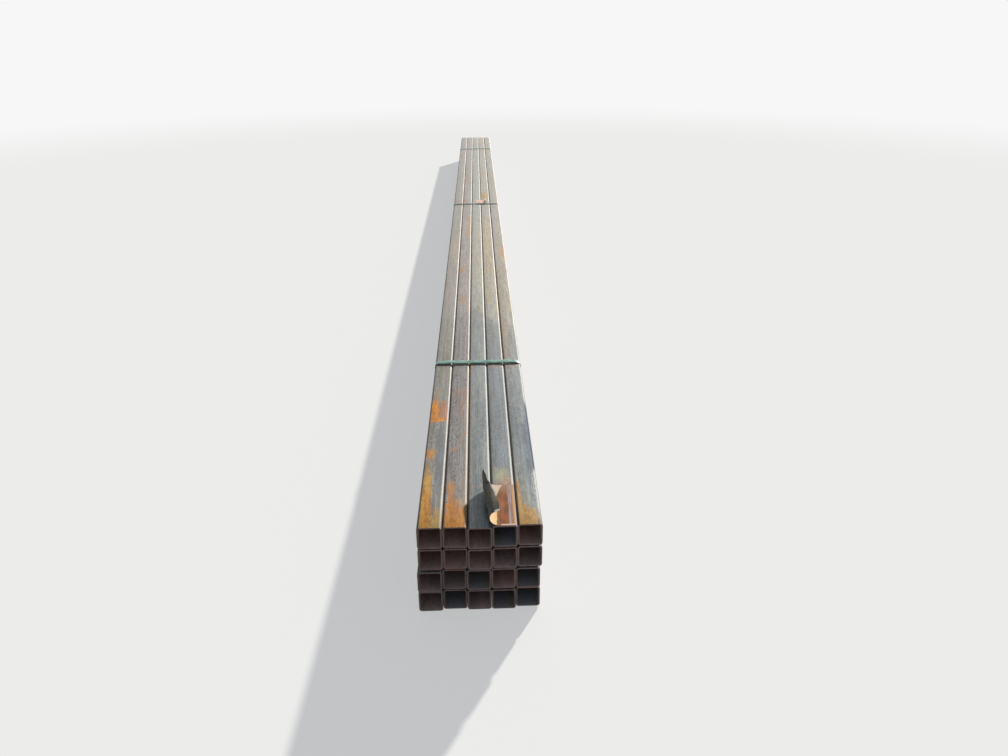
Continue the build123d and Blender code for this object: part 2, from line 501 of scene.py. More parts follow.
# Marks on the top faces, by column from the left. Each is a colour, how strong, its centre and half size
# in mm across the face and from the front end, how soft and how ragged
topMarks = {
    1: [
        ("slateBlue", 0.6, (12, 280), (12, 190), 0.35, 8),
        ("tan", 0.55, (-11, 628), (13, 42), 0.5, 8),
        ("redBrown", 0.7, (9, 528), (17, 60), 0.3, 8),
        ("orange", 0.95, (-13, 530), (12, 66), 0.25, 9),
        ("orange", 0.45, (8, 586), (18, 6), 0.4, 3),
        ("orange", 0.9, (0, 477), (25, 13), 0.25, 5),
        ("orange", 0.85, (-10, 300), (13, 24), 0.9, 3),
        ("ochre", 0.85, (-13, 112), (13, 128), 0.3, 10),
        ("olive", 0.75, (0, 22), (27, 66), 0.4, 10),
        ("ochre", 0.72, (4, 26), (20, 44), 0.8, 10),
        ("dustTan", 0.3, (0, 2150), (20, 200), 0.7, 14),
        ("orange", 0.6, (-12, 60), (9, 90), 0.5, 10),
        ("coolGrey", 0.5, (7, 85), (6, 62), 0.8, 6),
        ("redBrown", 0.46, (2, 3200), (22, 50), 0.7, 8),
    ],
    2: [
        ("redBrown", 0.35, (3, 638), (17, 24), 0.9, 6),
        ("redBrown", 0.3, (8, 560), (14, 70), 0.9, 12),
        ("brown", 0.22, (5, 150), (20, 50), 0.8, 12),
        ("orange", 0.6, (-11, 118), (7, 78), 0.4, 9),
        ("orange", 0.85, (0, 32), (27, 66), 0.35, 12),
        ("tan", 0.55, (10, 96), (8, 26), 0.5, 8),
        ("orange", 0.6, (0, 4), (28, 26), 0.8, 6),
        ("orange", 0.5, (-9, 1825), (14, 44), 0.9, 8),
        ("orange", 0.42, (-2, 1432), (10, 44), 0.9, 6),
        ("orange", 0.45, (12, 2600), (9, 260), 0.5, 14),
        ("redBrown", 0.34, (-6, 3200), (16, 46), 0.7, 8),
        ("tan", 0.25, (0, 4150), (26, 620), 0.4, 14),
    ],
    3: [
        ("paleBlue", 0.3, (0, 850), (26, 300), 0.7, 12),
        # painted shadow: the label's shadow, a dark blue patch near the front end
        ("darkBlue", 0.28, (3, 48), (24, 92), 0.6, 6),
        ("dustTan", 0.32, (7, 2100), (17, 680), 0.6, 14),
        ("pink", 0.35, (-8, 156), (17, 4), 0.5, 3),
        ("tan", 0.45, (-23, 500), (5, 560), 0.4, 4),
        ("ochre", 0.25, (-20, 820), (10, 24), 0.5, 8),
        ("tan", 0.4, (7, 1341), (11, 84), 0.5, 10),
    ],
    4: [
        ("paleBlue", 0.18, (0, 820), (26, 260), 0.7, 12),
        ("slateBlue", 0.35, (2, 560), (30, 640), 0.25, 12),
        ("brown", 0.8, (6, 84), (22, 98), 0.3, 12),
        ("redBrown", 0.5, (2, 60), (20, 90), 0.4, 14),
        ("yellowGreen", 0.55, (-4, 200), (17, 32), 0.5, 12),
        ("tan", 0.65, (2, 176), (22, 17), 0.5, 6),
        ("pink", 0.45, (0, 816), (26, 18), 0.4, 8),
        ("yellowGreen", 0.35, (-6, 1480), (10, 104), 0.5, 12),
        ("dustTan", 0.5, (-4, 2350), (18, 470), 0.6, 14),
        ("ochre", 0.72, (-5, 3375), (19, 98), 0.5, 14),
    ],
    5: [
        ("paleBlue", 0.34, (3, 800), (24, 260), 0.7, 12),
        ("tan", 0.5, (-13, 1350), (12, 460), 0.4, 12),
        ("slateBlue", 0.3, (8, 420), (22, 470), 0.5, 10),
        ("orange", 0.45, (9, 2110), (14, 110), 0.8, 12),
        ("pink", 0.3, (0, 1868), (22, 5), 0.5, 4),
        ("darkBlue", 0.65, (16, 340), (7, 128), 0.45, 6),
        ("pink", 0.45, (0, 816), (26, 18), 0.4, 8),
        ("tan", 0.45, (-16, 900), (9, 70), 0.5, 8),
        ("yellowGreen", 0.2, (-8, 110), (15, 110), 0.8, 10),
        ("ochre", 0.7, (-19, 84), (8, 88), 0.5, 9),
        ("ochre", 0.8, (-2, 16), (27, 40), 0.4, 12),
        ("brown", 0.6, (20, 10), (8, 30), 0.4, 8),
    ],
}
topLooks = {      # "dull" is a stretch in mm from the front end whose right corner is dark blue and lacks the rubbed edge with its painted highlight
    1: {"warmth": 0.62, "specks": 0.55, "haze": 0.22, "tint": "warmGrey", "tintAmount": 0.25,
        "dust": 0.3, "dustSheenFrom": 1200, "film": "dustPink"},
    2: {"warmth": 0.5, "specks": 1.00, "haze": 0.25, "tint": "mauve", "tintAmount": 0.55,
        "edge": "wornGold", "dust": 0.42, "dustSheenFrom": 1250, "film": "dustPink",
        "scrape": {"centre": (-9, 473, 0), "halfSize": (28, 160, 1), "width": 0.085}},
    3: {"warmth": 0.3, "specks": 0.45, "haze": 0.1, "tint": "coolGrey", "tintAmount": 0.3,
        "dust": 0.58, "dustSheenFrom": 1330, "film": "dustGreen"},
    4: {"warmth": 0.38, "specks": 0.75, "haze": 0.18, "tint": "coolGrey", "tintAmount": 0.2,
        "dust": 0.6, "dustSheenFrom": 1190, "film": "dustTan"},
    5: {"warmth": 0.34, "specks": 0.8, "haze": 0.15, "tint": "coolGrey", "tintAmount": 0.35,
        "dull": (215, 560), "dust": 0.54, "dustSheenFrom": 1080, "film": "dustTan"},
}
plainLook = {"warmth": 0.5, "specks": 0.5, "haze": 0.45, "tint": "darkScale", "tintAmount": 0.25}
plainSeeds = (9, 10, 11, 12)
wearAndPaintedLight = {      # in mm where it is a length. Those of the corner count from where it starts to turn. Besides wear it sets the dust film with its painted sheen, the corners' painted highlight and their painted shade
    "dustSheenWander": 600.0,
    "dustSheenFade": (-750, 350),
    "dustSheenTide": 50,
    "rubbedAndHighlit": (2.0, 3.9),
    "shaded": (1.2, 3.2),
    "arc": (0.0, 1.5),
    "arcRough": 0.55,
    "dullEnds": (15, 40),
    "dullRough": 0.4,
    "metal": 0.42,
    "specular": 0.28,
}


def deeper(name):      # a darker, browner shade for the mottling inside a patch
    red, green, blue = palette[name]
    return colour(red * 0.6, green * 0.5, blue * 0.48)


def dustSheenFilm(surface, place, look):      # a pale film of dust and painted sheen that lightens the tops away from the front end, thin at first and full past a ragged tide line
    drift = grain(place, 0.07, 0.005, 6.0, 0.65)
    combed = ramp(grain(place, 0.3, 0.02, 4.0, 0.65), 0.38, 0.6, 0.35, 1.15)
    fromEnd = split(place)["Y"]
    tide = plus(fromEnd, times(offCentre(drift), wearAndPaintedLight["dustSheenWander"]))
    start = look["dustSheenFrom"]
    low, high = wearAndPaintedLight["dustSheenFade"]
    film = plus(ramp(fromEnd, start + low, start + high, 0.0, 0.45),
                ramp(tide, start - wearAndPaintedLight["dustSheenTide"], start + wearAndPaintedLight["dustSheenTide"], 0.0, 0.55))
    filmTone = mixed(ramp(drift, 0.4, 0.58), "dust", look["film"])
    return mixed(times(film, look["dust"], combed), surface, filmTone)


# Lays a top face's marks and scrape over the surface: stains, dust with painted sheen and one painted
# shadow. Also gives the rust with theirs added
def marked(surface, rusted, place, onTop, seed, look, marks):
    grit = grain(place, 0.2, 0.065, 5.0, 0.75)
    cloud = grain(place, 0.13, 0.012, 5.0, 0.65)
    roughen = plus(times(offCentre(cloud), 1.5), times(offCentre(grit), 1.25))
    mottled = ramp(plus(times(cloud, 0.5), times(grit, 0.5)), 0.44, 0.57, 0.0, 0.95)
    for index, (name, strength, centre, size, softness, ragged) in enumerate(marks):
        amount = node("Group", {
            "place": place, "centre": (*centre, 0), "halfSize": (*size, 1), "softness": softness * 2,
            "ragged": ragged, "seed": seed + index}, node_tree=markGroup)
        amount = times(ramp(plus(amount, roughen), 0.3, 0.78), onTop, strength)
        surface = mixed(amount, surface, mixed(mottled, name, deeper(name)))
        rusted = calc("MAXIMUM", rusted, amount)
    if "scrape" in look:
        scrape = node("Group", {"place": place, **look["scrape"]}, node_tree=scrapeGroup)
        surface = mixed(times(scrape, ramp(grit, 0.38, 0.6, 0.2, 0.8)), surface, "redBrown")
    return surface, rusted


def tubeSteel(name, seed, look, marks=()):
    material, tree = newMaterial(name)
    place = stretch(stored(tree, "local"), 1 / mm, 1 / mm, 1 / mm)
    scaleLook = {key: tone(look[key]) for key in ("warmth", "specks", "haze", "tint", "tintAmount")}
    scale = node("Group", {"place": place, "seed": seed, **scaleLook}, node_tree=scaleGroup)
    scale = scale.node.outputs
    surface, rusted = scale["colour"], scale["rust"]
    parts = split(place)
    half = tube["side"] / mm / 2
    flatHalf = half - tube["corner"] / mm
    if "dust" in look:
        surface = dustSheenFilm(surface, place, look)
    if marks:
        onTop = ramp(parts["Z"], flatHalf, half - 1)
        surface, rusted = marked(surface, rusted, place, onTop, seed, look, marks)
    turned = calc("MINIMUM", calc("ABSOLUTE", parts["X"]), calc("ABSOLUTE", parts["Z"]))
    # the corner line: rubbed steel and painted highlight, much stronger on the right corners; painted
    # shade darkens the left corners at the gaps
    rubbedAndHighlit, shaded, onArc = (ramp(turned, flatHalf + low, flatHalf + high)
                             for low, high in (wearAndPaintedLight["rubbedAndHighlit"], wearAndPaintedLight["shaded"], wearAndPaintedLight["arc"]))
    rubbedAndHighlit = times(rubbedAndHighlit, ramp(grain(place, 0.2, 0.012, 4.0), 0.25, 0.6, 0.45, 0.9),
                   ramp(parts["X"], -1.0, 1.0, 0.25))
    arcRough = wearAndPaintedLight["arcRough"]
    if "dull" in look:
        fromEnd, toEnd = look["dull"]
        sharp, soft = wearAndPaintedLight["dullEnds"]
        dull = times(ramp(parts["Y"], fromEnd - sharp, fromEnd + sharp),
                     fall(parts["Y"], toEnd - soft, toEnd + soft),
                     ramp(parts["X"], flatHalf - 3, flatHalf + 3, 0.0, 0.9),
                     ramp(parts["Z"], flatHalf - 6, flatHalf + 1))
        rubbedAndHighlit = times(rubbedAndHighlit, minus(1.0, dull))
        surface = mixed(dull, surface, "darkBlue")
        arcRough = plus(arcRough, times(dull, wearAndPaintedLight["dullRough"]))
        rusted = calc("MAXIMUM", rusted, dull)
    shaded = times(shaded, fall(parts["X"], -3.0, 0.0, 0.9))
    surface = layered(surface, (rubbedAndHighlit, look.get("edge", "wornSteel")), (shaded, "gapShade"))
    rough = plus(scale["roughness"], times(rusted, 0.2))
    metal = times(minus(1.0, rusted), wearAndPaintedLight["metal"], ramp(onArc, 0.0, 1.0, 1.0, 0.12))
    rough = plus(rough, times(onArc, minus(arcRough, rough)))
    return finished(material, surface, rough, (scale["height"], 0.25 * mm, 0.6), metal, wearAndPaintedLight["specular"])


# The bores from left to right: r for thin rust, s for blue-black scale, f for scale with a rusty floor
boreLooks = {"top": "rrrsr", "upper": "rrrff", "lower": "ffsrs", "bottom": "fsfss"}
boreKinds = {"r": ("boreRust", 0.9), "s": ("boreScale", 0.12), "f": ("boreFloorRust", 0.12)}


def boreFinish(look):
    name, rusty = boreKinds[look]
    material, tree = newMaterial(name)
    place = objectPlace(tree)
    local = split(stored(tree, "local"))
    fine = grain(place, 300, 90, 4.0, 0.65)
    patch = grain(place, 24, 4, 4.0)
    rusty = plus(rusty, times(offCentre(patch), 0.9))
    if look == "f":
        rusty = plus(rusty, fall(local["Z"], -26 * mm, -8 * mm, 0.8))
    mouth = fall(local["Y"], 0.4, 1.4)      # paler and redder near the front ends
    surface = layered(
        mixed(mouth, "deepScale", "mouthScale"),
        (ramp(rusty, 0.2, 0.8), mixed(mouth, "deepRust", "mouthRust")),
        (ramp(patch, 0.4, 0.6, 0.0, 0.6), "boreDirt"),
        (ramp(fine, 0.48, 0.66, 0.0, 0.5), "boreFleck"))
    return finished(material, surface, 0.75, (fine, 0.2 * mm, 0.5))


def sawCut():      # the cut ends: brown-grey steel with fine saw lines
    material, tree = newMaterial("sawCut")
    place = objectPlace(tree)
    lines = noise(stretch(place, 60, 1, 1500), 2.0)
    bloom = grain(place, 40, 40, 4.0)
    surface = layered(mixed(ramp(bloom, 0.35, 0.65), "cutSteel", "cutBloom"),
                      (ramp(lines, 0.5, 0.8, 0.0, 0.35), "sawLine"))
    return finished(material, surface, 0.5, (lines, 0.05 * mm, 0.5), metallic=0.3)


def rounded(curve, steps, radius):
    return geo("FilletCurve", {"Curve": curve, "Count": steps, "Radius": radius}, mode="POLY")


def joined(*parts):
    made = treeOf(parts).nodes.new("GeometryNodeJoinGeometry")
    for part in parts:
        fill(made.inputs[0], part)
    return made.outputs[0]


# The tube tree: an outside and a bore swept along a line, two cut rings, a weld bead, and the bow
def makeTubeTree():
    inputs = {**tube, "length": 6.0, "bow": 0.0, "place": "Vector", "beadTurn": 0.0,
              "skin": "Material", "bore": "Material", "cut": "Material"}
    tree, given, result = newGroup("squareTube", inputs, {"geometry": "Geometry"}, "GeometryNodeTree")

    def section(side, corner):
        square = geo("CurvePrimitiveQuadrilateral", {"Width": side, "Height": side})
        return rounded(square, given["cornerSteps"], corner)

    def moved(part, **change):
        return geo("Transform", {"Geometry": part, **change})

    def painted(part, material):
        return geo("SetMaterial", {"Geometry": part, "Material": given[material]})

    boreSide = minus(given["side"], times(given["wall"], 2.0))
    outside = section(given["side"], given["corner"])
    inside = section(boreSide, minus(given["corner"], given["wall"]))
    farEnd = combine(Y=given["length"])
    line = geo("CurvePrimitiveLine", {"End": farEnd})
    line = geo("ResampleCurve", {"Curve": line, "Count": given["segments"]}, mode="COUNT")
    skin = geo("CurveToMesh", {"Curve": line, "Profile Curve": outside})
    bore = geo("FlipFaces", {"Mesh": geo("CurveToMesh", {"Curve": line, "Profile Curve": inside})})
    ring = geo("FillCurve", {"Curve": joined(inside, outside)}, mode="TRIANGLES")
    frontCut = moved(ring, Rotation=(pi / 2, 0, 0))
    rearCut = moved(geo("FlipFaces", {"Mesh": frontCut}), Translation=farEnd)
    bead = geo("CurvePrimitiveCircle", {"Resolution": given["beadSteps"], "Radius": 1.0}, mode="RADIUS")
    halfWidth = calc("DIVIDE", given["beadWidth"], 2.0)
    bead = moved(bead, Scale=combine(X=halfWidth, Y=given["beadHeight"], Z=1.0))
    bead = geo("CurveToMesh", {"Curve": line, "Profile Curve": bead, "Fill Caps": True})
    bead = moved(bead, Translation=combine(Z=calc("DIVIDE", boreSide, -2.0)))
    bead = moved(bead, Rotation=combine(Y=given["beadTurn"]))
    walls = joined(painted(skin, "skin"), painted(bore, "bore"), painted(frontCut, "cut"),
                   painted(rearCut, "cut"))
    walls = geo("MergeByDistance", {"Geometry": walls, "Distance": given["merge"]})
    shape = joined(painted(bead, "bore"), walls)

    position = geo("InputPosition", tree=tree)
    shape = geo("StoreNamedAttribute", {"Geometry": shape, "Name": "local", "Value": position},
                data_type="FLOAT_VECTOR", domain="POINT")
    parts = split(position)
    before = calc("MAXIMUM", minus(given["bowStart"], parts["Y"]), 0.0)
    share = calc("DIVIDE", before, given["bowStart"])
    rise = times(given["bow"], times(share, share))
    slope = calc("DIVIDE", times(share, given["bow"], 2.0), given["bowStart"])
    offset = vectorCalc("ADD", combine(Y=times(slope, parts["Z"]), Z=rise), given["place"])
    shape = geo("SetPosition", {"Geometry": shape, "Offset": offset})
    fill(result["geometry"], geo("RealizeInstances", {"Geometry": shape}))
    return tree


def makeTubes():
    tree = makeTubeTree()
    bores = {look: boreFinish(look) for look in boreKinds}
    cut = sawCut()
    plainSkins = [tubeSteel(f"tubeSkin{seed}", seed, plainLook) for seed in plainSeeds]
    for level, layer in enumerate(layers):
        for column in columns:
            cadNode = f"tube_{layer}_{column}"
            low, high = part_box(cadNode)
            skin = plainSkins[(level + column) % len(plainSkins)]
            if layer == "top":
                skin = tubeSteel(f"topSkin{column}", column, topLooks[column], topMarks[column])
            side = tube["side"]
            place = Vector(((low.x + high.x) / 2, low.y, low.z + side / 2))
            piece = grownPiece(f"tube{layer.capitalize()}{column}", tree, {
                "length": high.y - low.y, "place": place, "bow": max(high.z - low.z - side, 0.0),
                "beadTurn": pi / 2 * ((column * 3 + len(layer)) % 4),      # to any of the four sides
                "skin": skin, "bore": bores[boreLooks[layer][column - 1]], "cut": cut,
            }, tubeEdge["sharpAngle"], bevel=tubeEdge)
            handOver(piece, cadNode)


makeTubes()
print("tubes made")


# Straps and seals. The ribbon's settings are the first inputs of its geometry tree
strap = {
    "clearance": 0.5 * mm,
    "tail": 9.0 * mm,
    "tailGap": 0.02 * mm,
    "overstep": 10.0 * mm,
    "lipGap": 0.1 * mm,
    "bareGlintAcross": (8 * mm, 3 * mm),
    "bareGlintDown": (9 * mm, 4 * mm),
    "sharpAngle": 40,
    "front": {"frontLift": 4.2 * mm, "rearLift": 5.0 * mm, "seed": 1.0, "chalk": 0.6},
    "middle": {"frontLift": 3.2 * mm, "rearLift": 3.4 * mm, "seed": 2.0, "chalk": 0.85},
    "rear": {"frontLift": 2.0 * mm, "rearLift": 2.4 * mm, "seed": 3.0, "chalk": 0.85},
}
ribbon = {
    "width": 19.0 * mm,
    "thickness": 0.8 * mm,
    "bendSteps": 6,
    "edgeRound": 0.2 * mm,
    "edgeSteps": 2,
    "step": 2.5 * mm,
    "twistIn": 22.0 * mm,
    "topBand": 4.0 * mm,
    "wander": 1.2 * mm,
    "driftPitch": 22.0,
}
ribbon["bend"] = tube["corner"] + strap["clearance"] + ribbon["thickness"] / 2
seal = {
    "sheet": 0.8 * mm,
    "lipGap": 5.0 * mm,
    "edgeRound": 0.75 * mm,
    "roundSteps": 4,
    "stations": 64,
    "crimps": (-6.5 * mm, 6.5 * mm),
    "crimpHalf": 1.7 * mm,
    "pinch": 0.045,
    "groove": 0.25 * mm,
    "sharpAngle": 35,
}
strapNames = ("front", "middle", "rear")


def pushedOut(outline, reach):      # the outline moved out by reach, with mitred corners
    moved = []
    for index, here in enumerate(outline):
        here = Vector(here)
        along = [(here - Vector(outline[index - 1])).normalized(),
                 (Vector(outline[(index + 1) % len(outline)]) - here).normalized()]
        out = [Vector((step.y, -step.x)) for step in along]
        moved.append(here + reach * (out[0] + out[1]) / (1 + out[0].dot(out[1])))
    return moved


def strapRoute(sealBox):      # from the buried end, down and round the bundle, to the end on the outside
    arm = tube["side"] / 2 - tube["corner"]
    points = []
    for layer in layers:
        for column in (columns[0], columns[-1]):
            low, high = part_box(f"tube_{layer}_{column}")
            x, z = (low.x + high.x) / 2, low.z + tube["side"] / 2
            points += [(x + i * arm, z + k * arm) for i in (-1, 1) for k in (-1, 1)]
    low, high = sealBox
    overLips = low.x + seal["sheet"] - tube["corner"] - strap["clearance"] + strap["lipGap"]
    points += [(overLips, low.z), (overLips, high.z)]
    hull = [points[index] for index in convex_hull_2d(points)]
    route = pushedOut(hull[::-1], -ribbon["bend"])
    middle = (low.z + high.z) / 2
    upper = max((p for p in route if p.x > 0 and low.z < p.y < high.z + mm), key=lambda p: p.y)
    first = route.index(upper)
    route = route[first:] + route[:first]
    tailHalf = (high.z - low.z) / 2 + strap["tail"]

    def between(above, below, z):
        return below.lerp(above, (z - below.y) / (above.y - below.y))

    start = between(route[-1], route[0], middle + tailHalf)
    end = between(route[1], route[2], middle - tailHalf)
    outward = Vector((ribbon["thickness"] + strap["tailGap"], 0))
    stepFrom = between(route[-1], route[0], middle + tailHalf + strap["overstep"])
    return [start, *route, stepFrom, *(p + outward for p in (start, route[0], route[1], end))]


def makeStrapTree():
    inputs = {"geometry": "Geometry", **ribbon, "middle": 0.0, "top": 0.2, "halfSpan": 0.13,
              "frontLift": 0.0, "rearLift": 0.0, "seed": 0.0, "finish": "Material"}
    tree, given, result = newGroup("strapRibbon", inputs, {"geometry": "Geometry"}, "GeometryNodeTree")

    route = geo("MeshToCurve", {"Mesh": given["geometry"]})
    route = rounded(route, given["bendSteps"], given["bend"])
    route = geo("ResampleCurve", {"Curve": route, "Length": given["step"]}, mode="LENGTH")
    route = geo("SetCurveNormal", {"Curve": route, "Normal": (0, 1, 0)}, mode="FREE")
    flat = geo("CurvePrimitiveQuadrilateral", {"Width": given["width"], "Height": given["thickness"]})
    flat = rounded(flat, given["edgeSteps"], given["edgeRound"])
    band = geo("CurveToMesh", {"Curve": route, "Profile Curve": flat, "Fill Caps": True})
    parts = split(geo("InputPosition", tree=tree))
    inward = minus(given["halfSpan"], calc("ABSOLUTE", parts["X"]))
    share = times(ramp(parts["Z"], minus(given["top"], given["topBand"]), given["top"]),
                  ramp(inward, 0.0, given["twistIn"]))
    across = plus(calc("DIVIDE", parts["Y"], given["width"]), 0.5)
    lift = node("Mix", {0: across, 2: given["frontLift"], 3: given["rearLift"]})
    drift = combine(X=times(parts["X"], given["driftPitch"]), Y=given["seed"])
    drift = noise(drift, 1.0, 0.5, out="Color")
    drift = split(vectorCalc("SUBTRACT", drift, (0.5, 0.5, 0.5)))
    lift = times(lift, plus(1.0, drift["Y"]), share)
    aside = plus(given["middle"], times(drift["X"], 3.0, given["wander"], share))
    band = geo("SetPosition", {"Geometry": band, "Offset": combine(Y=aside, Z=lift)})
    band = geo("RealizeInstances", {"Geometry": band})
    fill(result["geometry"], geo("SetMaterial", {"Geometry": band, "Material": given["finish"]}))
    return tree


def strapPaint(name, half, top):      # dark green; pale on the tops, partly chalked paint and partly painted sheen; pale mint streaks of painted glint; pale bends, partly rubbed bare and partly painted glint
    material, tree = newMaterial("strapPaint" + name.capitalize())
    place = objectPlace(tree)
    parts = split(place)
    upward = split(node("NewGeometry", out="Normal", tree=tree))["Z"]
    streaks = grain(place, 60, 500, 4.0, 0.6)
    patch = grain(place, 40, 60, 5.0, 0.65)
    # painted sheen on the upward faces, partly chalked paint
    chalk = times(ramp(upward, 0.3, 0.9), strap[name]["chalk"], ramp(patch, 0.34, 0.56))
    across, down = strap["bareGlintAcross"], strap["bareGlintDown"]
    # bends: partly rubbed bare steel, partly painted glint
    onBendGlint = times(ramp(calc("ABSOLUTE", parts["X"]), half - across[0], half - across[1]),
                   ramp(parts["Z"], top - down[0], top - down[1]), ramp(streaks, 0.3, 0.48, 0.4, 1.0))
    surface = layered(
        mixed(ramp(patch, 0.42, 0.6), "green", "fadedGreen"),
        (chalk, name + "Chalk"),
        # painted glint: pale mint streaks
        (ramp(streaks, 0.56, 0.68, 0.0, 0.7), "mint"),
        (fall(streaks, 0.3, 0.42, 0.8), "greenScratch"),
        (onBendGlint, "bareBend"))
    return finished(material, surface, ramp(patch, 0.3, 0.7, 0.26, 0.42), (streaks, 0.1 * mm, 0.4))


def sealSteel():      # bright galvanised sheet, dulled and scuffed
    material, tree = newMaterial("sealSteel")
    place = objectPlace(tree)
    spangle = node("TexVoronoi", {"Vector": place, "Scale": 420.0}, out="Color")
    scuff = noise(stretch(place, 300, 300, 60), 4.0, 0.6)
    surface = layered(mixed(node("RGBToBW", {"Color": spangle}), "zinc", "paleZinc"),
                      (ramp(scuff, 0.52, 0.7, 0.0, 0.55), "zincScuff"))
    rough = ramp(scuff, 0.3, 0.7, 0.32, 0.6)
    return finished(material, surface, rough, (scuff, 0.08 * mm, 0.4), metallic=0.8)


def makeStraps():
    tree = makeStrapTree()
    for name in strapNames:
        low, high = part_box("strap_" + name)
        corners = [(p.x, 0, p.y) for p in strapRoute(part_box("seal_" + name))]
        route = bpy.data.meshes.new("route")
        route.from_pydata(corners, [(i, i + 1) for i in range(len(corners) - 1)], [])
        piece = grownPiece("strap" + name.capitalize(), tree, {
            "middle": (low.y + high.y) / 2, "top": high.z, "halfSpan": (high.x - low.x) / 2,
            "finish": strapPaint(name, high.x, high.z), **strap[name],
        }, strap["sharpAngle"], source=route)
        handOver(piece, "strap_" + name)


def sealSection(deep, wide):      # outline of the folded sleeve: x away from the tubes, y along them
    sheet, gap, turn = seal["sheet"], seal["lipGap"] / 2, seal["edgeRound"]
    half = wide / 2 - turn
    outline = [(0, gap)]
    for x, y, fromAngle in ((turn, half, pi), (deep - turn, half, pi / 2), (deep - turn, -half, 0),
                            (turn, -half, -pi / 2)):
        for step in range(seal["roundSteps"] + 1):
            angle = fromAngle - pi / 2 * step / seal["roundSteps"]
            outline.append((x + turn * cos(angle), y + turn * sin(angle)))
    inner = wide / 2 - sheet
    outline += [(0, -gap), (sheet, -gap), (sheet, -inner), (deep - sheet, -inner), (deep - sheet, inner),
                (sheet, inner), (sheet, gap)]
    return outline


def makeSeal(name, material):
    low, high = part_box("seal_" + name)
    deep, wide = high.x - low.x, high.y - low.y
    middle = (low + high) / 2
    section = sealSection(deep, wide)
    shape = bmesh.new()
    rings = []
    for station in range(seal["stations"] + 1):
        z = low.z + (high.z - low.z) * station / seal["stations"]
        crimp = sum(max(0.0, 1 - ((z - middle.z - place) / seal["crimpHalf"]) ** 2)
                    for place in seal["crimps"])
        ring = []
        for x, y in section:
            sunk = seal["groove"] * crimp if x > deep / 2 else 0.0
            narrow = y * (1 - seal["pinch"] * crimp)
            ring.append(shape.verts.new((low.x + x - sunk, middle.y + narrow, z)))
        rings.append(ring)
    for below, above in zip(rings, rings[1:]):
        for i in range(len(section)):
            shape.faces.new((below[i - 1], below[i], above[i], above[i - 1]))
    shape.faces.new(rings[0])
    shape.faces.new(rings[-1])
    mesh = bpy.data.meshes.new("seal" + name)
    shape.to_mesh(mesh)
    shape.free()
    mesh.materials.append(material)
    piece = meshPiece("seal" + name.capitalize(), mesh, seal["sharpAngle"])
    handOver(piece, "seal_" + name)


makeStraps()
sealFinish = sealSteel()
for sealName in strapNames:
    makeSeal(sealName, sealFinish)
print("straps and seals made")


# Paper. A sheet is rows of points across it, from front to rear, with its upper side up. The label's
# "bend", "turn", "lip" and "tall" change from front to rear, by the powers of the share of its length
label = {
    "sheet": 0.4 * mm,
    "width": 101.6 * mm,
    "slack": 0.015,
    "rows": 64,
    "steps": 72,
    "bend": (43.5, -23.8, -3.3, 24.0),      # where the curl starts, in mm from the bundle's middle
    "turn": (158.0, 24.3, -66.0),      # how far it curls, in degrees
    "lip": (7.8, 7.5, -27.6),      # straight stretch past the curl, in mm
    "tall": (0.733, 1.049, -0.865),      # its height beside a round curl's
    "frontLean": 6.0 * mm,
    "ripple": 0.35 * mm,
    "rippleFrom": 10 * mm,
    "waveAlong": 9 * pi,
    "waveAcross": 40,
    "lie": 0.45 * mm,
    "bow": 8.8 * mm,
    "margin": 3.4 * mm,
}
tag = {
    "sheet": 0.3 * mm,
    "width": 58.0 * mm,
    "flat": 30.0 * mm,
    "behindStrap": 1.0 * mm,
    "rows": 48,
    "tongueRows": 8,
    "steps": 40,
    "turnFront": 62.0,
    "turnRear": 12.0,
    "turnPower": 0.6,
    "lip": 9.0 * mm,
    "lean": 0.35,
    "ripple": 0.4 * mm,
    "rippleFrom": 6 * mm,
    "waveAlong": 7,
    "waveAcross": 60,
}
paperSharpAngle = 50


# Each point of a row comes with its run, its share of the length and how far in it is from the free edge
def sheetPiece(name, rows, thickness, materials, keep=lambda r, c: True):
    across = len(rows[0])
    faces = []
    for r in range(len(rows) - 1):
        for c in range(across - 1):
            if keep(r, c):
                start = r * across + c
                faces.append((start, start + across, start + across + 1, start + 1))
    mesh = bpy.data.meshes.new(name)
    mesh.from_pydata([point for row in rows for point, _ in row], [], faces)
    paper = mesh.attributes.new("paper", "FLOAT_VECTOR", "POINT")
    for index, value in enumerate(value for row in rows for _, value in row):
        paper.data[index].vector = value
    for material in materials:
        mesh.materials.append(material)
    seed = placed(name + "Seed", mesh)
    wall = seed.modifiers.new("wall", "SOLIDIFY")
    wall.thickness = thickness
    wall.offset = 0.0
    wall.use_even_offset = True
    wall.material_offset = 1
    wall.material_offset_rim = 2
    return appliedPiece(name, seed, paperSharpAngle)


# Run, place across and rise of points across a sheet that lies flat, curls up and ends in a straight lip
def curledRow(start, flat, radius, turn, lip, steps, side):
    row = []
    total = flat + radius * turn + lip
    for step in range(steps + 1):
        run = total * step / steps
        bent = min(max(0.0, run - flat) / radius, turn)
        past = max(0.0, run - flat - radius * turn)
        x = start + side * (min(run, flat) + radius * sin(bent) + past * cos(turn))
        row.append((run, x, radius * (1 - cos(bent)) + past * sin(turn)))
    return row


def rippled(sheet, run, s, rise):      # a small wave that dies out where the sheet lies flat
    phase = sheet["waveAlong"] * s + sheet["waveAcross"] * run
    return sheet["ripple"] * sin(phase) * min(1.0, rise / sheet["rippleFrom"])


